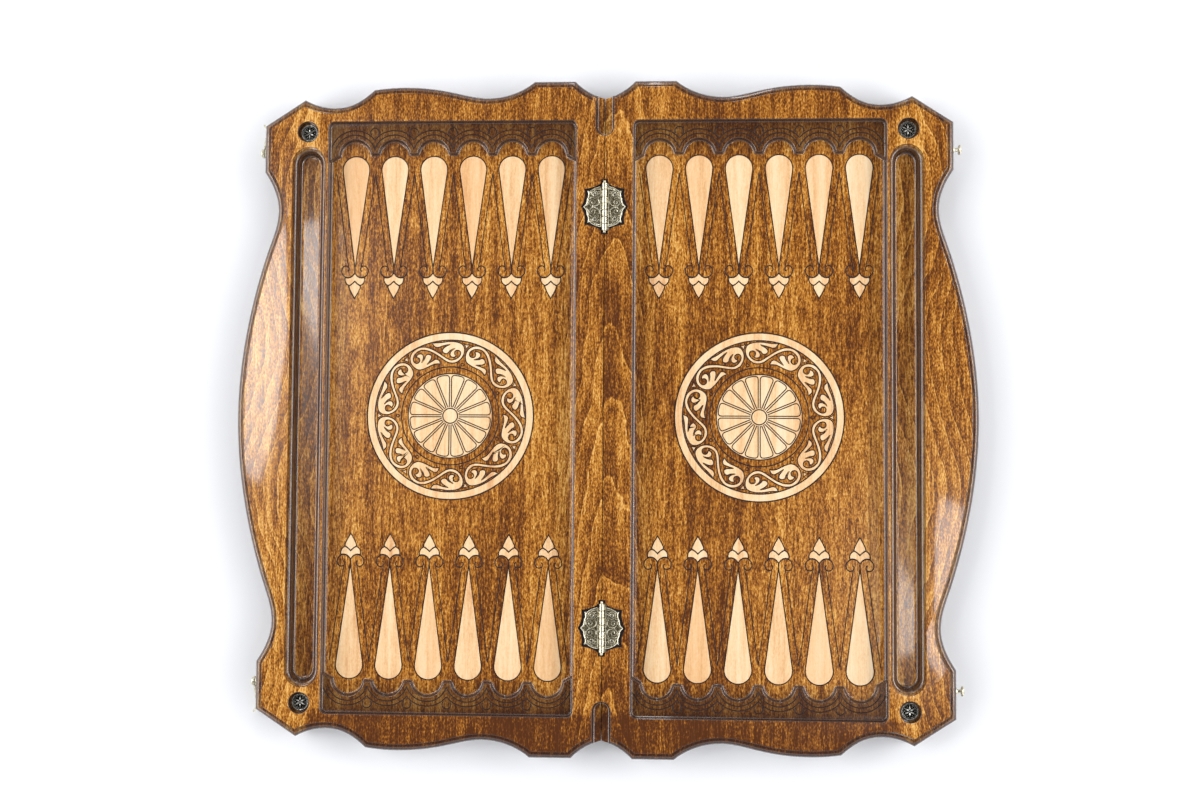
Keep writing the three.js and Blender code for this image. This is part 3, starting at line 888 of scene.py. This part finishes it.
def carved_board(side):
    half = HALVES[side]
    board = board_blank(side)
    plain = [cut_field, cut_floor, cut_trough, cut_sockets, cut_notches, cut_hinge_beds,
             cut_knuckle_grooves, cut_bores]
    ground = FLOOR - INLAY_D
    seat = INLAY_BOTTOM - 0.1
    engraved = [
        cut_shapes(point_outline(INLAY_GAP), ground, FLOOR + 1),
        cut_shapes(point_outline(SEAT_FIT), seat, FLOOR + 1.2),
        cut_shapes(offset(bud_outline(), INLAY_GAP), ground, FLOOR + 1),
        cut_shapes(offset(drop_outline(), INLAY_GAP), ground, FLOOR + 1.1),
        cut_lines([(0, -POINT_L - 2), (0, STEM_FOOT - 1)]),
    ]
    engraved += [cut_lines(volute(hand)) for hand in (1, -1)]
    engraved += [cut_lines(smooth(outer_leg(hand), 3), 0.8) for hand in (1, -1)]
    engraved += [cut_arcade_lines(radius, skip) for radius in ARCADE_RADII for skip in (0, 1)]
    engraved += [cut_arcade_drops, cut_rosette(INLAY_GAP + 0.2, ground),
                 cut_rosette(SEAT_FIT, seat)]
    cutters = [cutter(f"cut_{i}", build) for i, build in enumerate(plain + engraved)]
    carve(board, cutters)
    flipped(board, side)
    install(board, f"{half}_half", f"board_{half}")


# --- Light inlays of the points, with their buds and drops ----------
def ornament_piece(name, outlines, side, tone, bottom):
    bm = bmesh.new()
    for outline in outlines:
        add_prism(bm, outline, bottom, FLOOR, chamfer=0.12)
    piece = flipped(finish_mesh(bm, name, [LIGHT]), side)
    stamp(piece, "tone", tone)
    return piece


def point_inlays(side):
    half = HALVES[side]
    for end, label in ((1, "upper"), (-1, "lower")):
        for i, x in enumerate(POINT_XS):
            node = f"point_inlay_{half}_{label}_{i + 1}"
            tone = chance(f"{node} tone")
            inlay = ornament_piece(f"point_{half}_{label}_{i + 1}",
                                   [placed(point_outline(), x, end)], side, tone, INLAY_BOTTOM)
            install(inlay, f"{half}_half", node)
            bud = ornament_piece(f"bud_{half}_{label}_{i + 1}", [
                placed(bud_outline(), x, end), placed(drop_outline(), x, end),
            ], side, tone * 0.6, FLOOR - INLAY_D)
            install(bud, f"{half}_half")


# --- Rosettes -------------------------------------------------------
UNITS = 7
UNIT_ORDER = (1, -1, 1, -1, -1, 1, -1)
FRIEZE_R = 53.4
PETALS = 16


def polar(angle, radius):
    """A place by its clockwise angle from the +Y side, in degrees, and its radius."""
    a = math.radians(angle)
    return (radius * math.sin(a), radius * math.cos(a))


def leaf_half():
    """Half of a scroll unit: degrees along the frieze, and millimetres out from its middle."""
    back = [(-0.9, 0.9), (3.2, 4.5), (7.4, 7.6), (12.4, 9.3), (17.9, 8.9), (22.0, 6.3),
            (24.2, 3.0), (24.9, -0.4), (24.2, -4.2), (21.6, -7.2), (16.4, -8.5), (10.7, -8.6),
            (4.4, -8.3), (-1.8, -9.4)]
    finger_1 = [(-1.8, -9.4), (-0.7, -6.1), (1.9, -4.6), (5.8, -5.2), (12.2, -6.3)]
    finger_2 = [(12.2, -6.3), (7.1, -3.7), (5.2, -1.1), (7.0, 1.0), (9.7, 1.2), (12.1, -1.0),
                (16.1, -2.9)]
    finger_3 = [(16.1, -2.9), (12.8, -0.2), (12.0, 2.5), (13.4, 4.2), (16.0, 4.5), (18.0, 3.3)]
    eye = [(18.0, 3.3), (16.4, 1.6), (16.6, -0.6), (19.0, -1.6), (21.3, -0.5), (21.6, 2.1),
           (19.8, 4.6), (16.8, 6.2), (12.8, 6.8), (8.9, 5.3), (5.1, 2.7), (0.9, -0.9)]
    outline = []
    for span in (back, finger_1, finger_2, finger_3, eye):
        outline += smooth(span, 4)[:-1]
    return outline


def scroll_unit(index, turn):
    """One leafy scroll of the frieze, point-symmetric about its middle."""
    half = leaf_half()
    whole = half + [(-u, -v) for u, v in half]
    middle_angle = (index + 0.25) * 360 / UNITS + turn
    flip = UNIT_ORDER[index]
    return [polar(middle_angle + flip * u, FRIEZE_R + v) for u, v in whole]


def filler(index, turn):
    """The small three-cornered leaf between two units."""
    seam = (index + 0.75) * 360 / UNITS + turn
    sides = [[(-3.6, 61.6), (0.0, 60.6), (3.6, 61.6)], [(3.6, 61.6), (1.2, 59.6), (0.0, 56.8)],
             [(0.0, 56.8), (-1.2, 59.6), (-3.6, 61.6)]]
    outline = []
    for side in sides:
        outline += smooth(side, 3)[:-1]
    return [polar(seam + u, r) for u, r in outline]


def petal(index):
    """One petal of the daisy, with parallel gaps between neighbours."""
    lean = 180 / PETALS
    gap = 0.85
    outer, root = ROSETTE_RADII["petal"], ROSETTE_RADII["root"]
    tip = lean - math.degrees(gap / outer)
    foot = lean - math.degrees(gap / root)
    right = [(0, outer), (tip * 0.6, outer - 0.15), (tip * 0.88, outer - 1.0),
             (tip * 0.985, outer - 2.8), (tip * 0.97, outer - 6), (foot, root)]
    left = [(-u, r) for u, r in reversed(right[1:])]
    middle_angle = (index + 0.5) * 360 / PETALS
    round_end = smooth(left[1:] + right[:-1], 3)
    return [polar(middle_angle + u, r) for u, r in round_end + [right[-1], left[0]]]


def circle_line(radius, steps=96):
    return circle(0, 0, radius, steps)


def light_outlines(turn):
    figures = [scroll_unit(i, turn) for i in range(UNITS)]
    figures += [filler(i, turn) for i in range(UNITS)]
    return figures


def inside(point, outline):
    x, y = point
    hit = False
    for (ax, ay), (bx, by) in zip(outline, outline[1:] + outline[:1]):
        if (ay > y) != (by > y) and x < (bx - ax) * (y - ay) / (by - ay) + ax:
            hit = not hit
    return hit


def rosette(side):
    """A disc with engraved outlines: light daisy, scrolls and rim on a stained ground."""
    half = HALVES[side]
    turn = 0 if side > 0 else 180
    radii = ROSETTE_RADII
    figures = light_outlines(turn)
    bm = bmesh.new()
    add_prism(bm, circle_line(radii["edge"], 128), INLAY_BOTTOM, FLOOR)
    disc = finish_mesh(bm, f"rosette_{half}", [STAIN[side], BURNT, LIGHT])

    def ring_lines(bm):
        for radius in (radii["frieze"], radii["band"], radii["daisy"], radii["hub"]):
            add_groove(bm, circle_line(radius), FLOOR, closed=True)
        for i in range(UNITS):
            cx, cy = polar((i + 0.75) * 360 / UNITS + turn, 43.8)
            dot = [(cx + x, cy + y) for x, y in circle_line(1.25, 16)]
            add_groove(bm, dot, FLOOR, closed=True, width=0.8)

    def petal_lines(bm):
        for i in range(PETALS):
            add_groove(bm, petal(i), FLOOR, closed=True, width=0.9)

    def figure_lines(bm):
        for outline in figures[:UNITS]:
            add_groove(bm, outline, FLOOR, closed=True, width=0.95)

    def filler_lines(bm):
        for outline in figures[UNITS:]:
            add_groove(bm, outline, FLOOR, closed=True, width=0.7)

    builds = [ring_lines, petal_lines, figure_lines, filler_lines]
    carve(disc, [cutter(f"rosette_cut_{i}", build) for i, build in enumerate(builds)])
    paint_rosette(disc, figures)
    disc.data.transform(Matrix.Translation((side * ROSETTE_X * MM, 0, 0)))
    stamp(disc, "tone", 0.1)
    install(disc, f"{half}_half", f"rosette_inlay_{half}")


def paint_rosette(disc, figures):
    """Gives the light material to the raised areas inside the light outlines."""
    boxes = [(min(x for x, y in o), max(x for x, y in o), min(y for x, y in o),
              max(y for x, y in o)) for o in figures]
    for polygon in disc.data.polygons:
        x, y, z = polygon.center / MM
        if z < FLOOR - 0.01 or polygon.normal.z < 0.9:
            continue
        radius = math.hypot(x, y)
        light = radius < ROSETTE_RADII["daisy"] or radius > ROSETTE_RADII["frieze"]
        for outline, (x0, x1, y0, y1) in zip(figures, boxes):
            light = light or (x0 < x < x1 and y0 < y < y1 and inside((x, y), outline))
        polygon.material_index = 2 if light else 0


# --- Hinges ---------------------------------------------------------
PLATE_DROP = 0.35
BORDER_R = 0.5


def spiral(cx, cy, start_r, end_r, start, end, steps=22):
    """A scroll whose radius shrinks evenly; angles in degrees."""
    made = []
    for i in range(steps + 1):
        t = i / steps
        a = math.radians(start + (end - start) * t)
        r = start_r + (end_r - start_r) * t
        made.append((cx + r * math.cos(a), cy + r * math.sin(a)))
    return made


def plate_outline():
    """Half of a leaf, from its head at the knuckles to the middle of its side, mirrored."""
    return mirrored(chain(
        (LEAF_INNER, 17.0),
        (7, (6.4, 16.9), (9.9, 15.2), (12.5, 12.9)),
        (1, (LEAF_CORNER[0], LEAF_CORNER[1] + 0.4)),
        (6, (13.4, 12.2), (13.2, 9.6), (14.3, 7.4)),
        (5, (15.1, 6.2), (14.7, 4.4), (15.2, 3.1)),
        (4, (15.7, 1.9), (16.6, 1.5), (LEAF_TIP, 0)),
    ))


def leaf_relief():
    """Scrolls, rings and leaves that stand on the plate, as paths with their bar radius."""
    bars = []
    for row in (1, -1):
        def flip(points):
            return [(x, row * y) for x, y in points]

        bars.append((flip(spiral(9.6, 3.7, 3.2, 0.7, -100, 400)), 0.42))
        bars.append((flip(smooth([(9.0, 0.5), (5.6, 1.6), (4.6, 4.2), (5.4, 7.0), (4.2, 8.8)], 4)),
                     0.38))
        bars.append((flip(arc(SCREW_X, SCREW_Y, 2.95, 0, TAU, 22)), 0.4))
        bars.append((flip(spiral(4.7, 11.6, 1.5, 0.4, 0, 330, 12)), 0.34))
        bars.append((flip(spiral(12.4, 8.3, 1.3, 0.4, 200, 520, 12)), 0.34))
        bars.append((flip(smooth([(13.6, 6.6), (13.0, 4.4), (13.9, 2.2), (15.6, 0.9)], 4)), 0.36))
        bars.append((flip(smooth([(3.4, 14.9), (6.2, 14.6), (8.8, 13.9)], 4)), 0.36))
        bars.append((flip(smooth([(11.0, 12.4), (12.6, 11.6), (12.9, 10.4)], 4)), 0.36))
        bars.append((flip(smooth([(3.5, 1.4), (4.0, 3.6), (3.5, 5.8)], 4)), 0.34))
    bars.append((arc(9.6, 0, 0.75, 0, TAU, 12), 0.34))
    return bars


def knuckle_span(index):
    """The lowest and highest Y of a knuckle, from the middle of its hinge."""
    pitch = (PIN_HIGH.y - PIN_LOW.y - 2 * FINIAL_L) / KNUCKLES
    low = (index - KNUCKLES / 2) * pitch + KNUCKLE_GAP / 2
    return low, low + pitch - KNUCKLE_GAP


def add_turned(bm, profile, centre, steps=20):
    """Turns pairs (radius, y) round an axis along Y through centre."""
    rings = []
    for radius, y in profile:
        rings.append([(centre[0] + x, centre[1] + y, centre[2] + z)
                      for x, z in circle(0, 0, max(radius, 0.01), steps)])
    add_loft(bm, rings)


def hinge_leaf(label, end, side):
    """A cast leaf: a plate with a sunk ground, a raised border, relief and its knuckles."""
    half = HALVES[side]
    place = end * HINGE_Y
    bm = bmesh.new()
    outline = [(x, y + place) for x, y in plate_outline()]
    add_prism(bm, outline, LEAF_TOP_Z - LEAF_T, LEAF_TOP_Z - PLATE_DROP, 1, chamfer=0.1)
    border = offset(outline, -BORDER_R)
    add_tube(bm, [(x, y, LEAF_TOP_Z - PLATE_DROP) for x, y in border], BORDER_R, 8, closed=True)
    for path, radius in leaf_relief():
        add_tube(bm, [(x, y + place, LEAF_TOP_Z - PLATE_DROP + 0.05) for x, y in path],
                 radius, 6)
    first = 0 if side > 0 else 1
    for index in range(first, KNUCKLES, 2):
        low, high = knuckle_span(index)
        profile = [(KNUCKLE_R - 0.35, low), (KNUCKLE_R - 0.08, low + 0.12),
                   (KNUCKLE_R, low + 0.4), (KNUCKLE_R, high - 0.4),
                   (KNUCKLE_R - 0.08, high - 0.12), (KNUCKLE_R - 0.35, high)]
        add_turned(bm, profile, (0, place, AXIS_Z))
        web = [(0.8, low + place + 0.1), (LEAF_INNER + 1.2, low + place + 0.1),
               (LEAF_INNER + 1.2, high + place - 0.1), (0.8, high + place - 0.1)]
        add_prism(bm, web, LEAF_TOP_Z - LEAF_T, LEAF_TOP_Z - 0.1, chamfer=0.1)
    leaf = flipped(finish_mesh(bm, f"{label}_leaf_{half}", [BRASS, BRASS_DARK]), side)
    install(leaf, f"{half}_half", f"{label}_hinge_{half}_leaf", 40)


def hinge_pin(label, end):
    """The pin with a turned finial at each end."""
    reach = (PIN_HIGH.y - PIN_LOW.y) / 2
    tube = reach - FINIAL_L
    right = [(0.9, 0), (0.9, tube + 0.05), (1.5, tube + 0.15), (1.5, tube + 0.5),
             (0.95, tube + 0.7), (1.25, tube + 1.1), (1.2, tube + 1.6), (0.7, reach - 0.15),
             (0.02, reach)]
    profile = [(r, -y) for r, y in reversed(right[1:])] + right[1:]
    bm = bmesh.new()
    add_turned(bm, profile, (0, end * HINGE_Y, AXIS_Z), 16)
    pin = finish_mesh(bm, f"{label}_pin", [BRASS])
    install(pin, "right_half", f"{label}_hinge_pin", 40)


def hinge_screw(label, side, number):
    """A small domed screw with a dark drive recess."""
    half = HALVES[side]
    low, high = box_mm(f"{label}_hinge_{half}_screw_{number}")
    centre = (low + high) / 2
    head = (high.x - low.x) / 2
    bm = bmesh.new()
    profile = [(0.02, low.z), (0.9, low.z + 1.2), (0.9, high.z - 1.0), (head - 0.1, high.z - 0.55),
               (head, high.z - 0.4), (head * 0.93, high.z - 0.16), (head * 0.6, high.z)]
    add_lathe(bm, profile, 24)
    floor_ring = [(head * 0.6, high.z), (0.75, high.z - 0.02), (0.7, high.z - 0.5)]
    bm.faces.ensure_lookup_table()
    bmesh.ops.delete(bm, geom=[bm.faces[-1]], context="FACES_ONLY")
    rings = [at(circle(0, 0, r, 24), z) for r, z in floor_ring]
    levels = [[bm.verts.new(p) for p in ring] for ring in rings]
    for i in range(24):
        j = (i + 1) % 24
        for k in range(2):
            bm.faces.new((levels[k][i], levels[k][j], levels[k + 1][j], levels[k + 1][i])
                         ).material_index = k
    bm.faces.new(levels[2]).material_index = 1
    bmesh.ops.remove_doubles(bm, verts=bm.verts, dist=1e-5)
    bmesh.ops.translate(bm, verts=bm.verts, vec=(centre.x, centre.y, 0))
    screw = finish_mesh(bm, f"{label}_screw_{half}_{number}", [BRASS, SILVER_DARK])
    install(screw, f"{half}_half", f"{label}_hinge_{half}_screw_{number}", 40)


# --- Medallions -----------------------------------------------------
def medallion(half, label):
    """A cast disc with a rim, a ring of beads and a six-petalled flower."""
    low, high = box_mm(f"medallion_{half}_{label}")
    cx, cy = (low.x + high.x) / 2, (low.y + high.y) / 2
    radius = (high.x - low.x) / 2
    field = high.z - 0.9
    bm = bmesh.new()
    profile = [(radius - 0.2, low.z), (radius, low.z + 0.2), (radius, high.z - 0.35),
               (radius - 0.25, high.z - 0.06), (radius - 0.55, high.z),
               (radius - 0.9, high.z - 0.1), (radius - 1.15, field)]
    add_lathe(bm, profile, 56)
    bm.faces.ensure_lookup_table()
    bm.faces[-1].material_index = 1
    for i in range(28):
        x, y = polar(i * 360 / 28, radius - 1.75)
        add_ball(bm, (x, y, field), 0.33)
    for i in range(6):
        add_petal_relief(bm, i * 60, field, 1.0, radius - 2.3)
        add_ball(bm, polar(i * 60 + 30, radius - 3.0) + (field,), 0.42)
    add_ball(bm, (0, 0, field), 0.75)
    bmesh.ops.translate(bm, verts=bm.verts, vec=(cx, cy, 0))
    disc = finish_mesh(bm, f"medal_{half}_{label}", [SILVER, SILVER_DARK])
    install(disc, f"{half}_half", f"medallion_{half}_{label}", 40)


def add_ball(bm, centre, radius):
    bmesh.ops.create_icosphere(bm, subdivisions=2, radius=radius,
                               matrix=Matrix.Translation(centre))


def add_petal_relief(bm, angle, z, inner, outer):
    """A pointed bar with a swollen middle, lying along a ray of the disc."""
    path = [polar(angle, inner + (outer - inner) * i / 8) + (z,) for i in range(9)]
    add_tube(bm, path, lambda t: 0.12 + 0.62 * math.sin(math.pi * (0.12 + 0.88 * t)) ** 1.3, 8)


# --- Latches --------------------------------------------------------
def metal_of_cad(node, material, bevel):
    """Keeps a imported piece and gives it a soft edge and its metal."""
    kept = bpy.data.objects[node]
    if kept.material_slots:
        kept.material_slots[0].link = "OBJECT"
        kept.material_slots[0].material = material
    edge = kept.modifiers.new("soft_edge", "BEVEL")
    edge.width = bevel * MM
    edge.segments = 3
    edge.limit_method = "ANGLE"
    edge.angle_limit = math.radians(35)
    edge.harden_normals = True


for SIDE in HALVES:
    carved_board(SIDE)
    point_inlays(SIDE)
    rosette(SIDE)
for LABEL, END in (("upper", 1), ("lower", -1)):
    hinge_pin(LABEL, END)
    for SIDE, HALF in HALVES.items():
        hinge_leaf(LABEL, END, SIDE)
        medallion(HALF, LABEL)
        for NUMBER in (1, 2):
            hinge_screw(LABEL, SIDE, NUMBER)
    for NODE in (f"{LABEL}_hook", f"{LABEL}_hook_pivot", f"{LABEL}_hook_washer",
                 f"{LABEL}_stud"):
        metal_of_cad(NODE, BRASS, 0.25)


# --- Floor, light and camera ----------------------------------------
WALL_LIGHT = 2.2
CEILING_LIGHT = 0.12
FLOOR_HALF = 3000  # millimetres
FLOOR_GAP = 0.2
CAMERA_LENS = 45.73
CAMERA_HEIGHT = 1.247  # metres above the playing face
CAMERA_ROLL = math.radians(0.4)


def plain_floor():
    bm = bmesh.new()
    bmesh.ops.create_grid(bm, x_segments=1, y_segments=1, size=FLOOR_HALF)
    bmesh.ops.translate(bm, verts=bm.verts, vec=(0, 0, -FLOOR_GAP))
    n = Nodes(bpy.data.materials.new("pale_floor"))
    material = n.finish(srgb(250, 250, 252), 0.7, 0.0)
    floor = finish_mesh(bm, "floor", [material])


def soft_light(name, location, target, size, size_y, power):
    data = bpy.data.lights.new(name, "AREA")
    data.shape = "RECTANGLE"
    data.size = size
    data.size_y = size_y
    data.energy = power
    light = bpy.data.objects.new(name, data)
    light.location = location
    light.rotation_euler = (Vector(target) - Vector(location)).to_track_quat("-Z", "Y").to_euler()
    bpy.context.scene.collection.objects.link(light)


def studio():
    """Bright walls with a window on either side, a dark ceiling, soft boxes and thin strips."""
    n = Nodes(bpy.data.worlds.new("soft_world"))
    toward = n.add("ShaderNodeTexCoord").outputs["Generated"]
    x, y, z = n.add("ShaderNodeSeparateXYZ", {0: toward}).outputs
    sideways = n.math("ABSOLUTE", n.math("COSINE", n.math("ARCTAN2", y, x)))
    walls = n.math("MULTIPLY", n.fit(sideways, 0.72, 0.92, 0.6, 1.6),
                   n.fit(z, 0.55, 0.85, WALL_LIGHT, 0.0))
    walls = n.math("MULTIPLY", walls, n.fit(z, 0.2, 0.42, 0.35, 1.0))
    ceiling = n.fit(z, 0.72, 0.95, 0.0, CEILING_LIGHT)
    background = n.add("ShaderNodeBackground", {
        "Color": (0.95, 0.97, 1.0, 1), "Strength": n.math("ADD", walls, ceiling),
    })
    n.add("ShaderNodeOutputWorld", {"Surface": background.outputs[0]})
    bpy.context.scene.world = n.owner
    soft_light("soft_box", (-0.645, 0.17, 1.3), (-0.28, 0.06, 0), 0.45, 0.12, 1.7)
    soft_light("right_box", (0.49, -0.22, 1.3), (0.28, -0.13, 0), 0.26, 0.12, 0.8)
    soft_light("left_strip", (-1.5, 0.1, 0.95), (0, 0, 0), 1.5, 0.05, 4.5)
    soft_light("right_strip", (1.5, 0.0, 0.95), (0, 0, 0), 1.5, 0.05, 6)
    soft_light("far_strip", (0, 1.5, 0.95), (0, 0, 0), 0.07, 1.5, 3)


def camera():
    """Nearly straight above, a little to the right and towards the lower edge."""
    data = bpy.data.cameras.new("camera")
    data.lens = CAMERA_LENS
    data.sensor_width = 36
    made = bpy.data.objects.new("camera", data)
    place = Vector((0.069, -0.0517, CAMERA_HEIGHT + TOP * MM))
    target = Vector((-0.0026, 0.0131, TOP * MM))
    back = (place - target).normalized()
    right = Vector((0, 1, 0)).cross(back).normalized()
    up = back.cross(right)
    turned_right = right * math.cos(CAMERA_ROLL) + up * math.sin(CAMERA_ROLL)
    turned_up = back.cross(turned_right)
    axes = Matrix((turned_right, turned_up, back)).transposed()
    made.matrix_world = Matrix.Translation(place) @ axes.to_4x4()
    bpy.context.scene.collection.objects.link(made)
    bpy.context.scene.camera = made


plain_floor()
studio()
camera()
bpy.context.scene.view_settings.view_transform = "Standard"
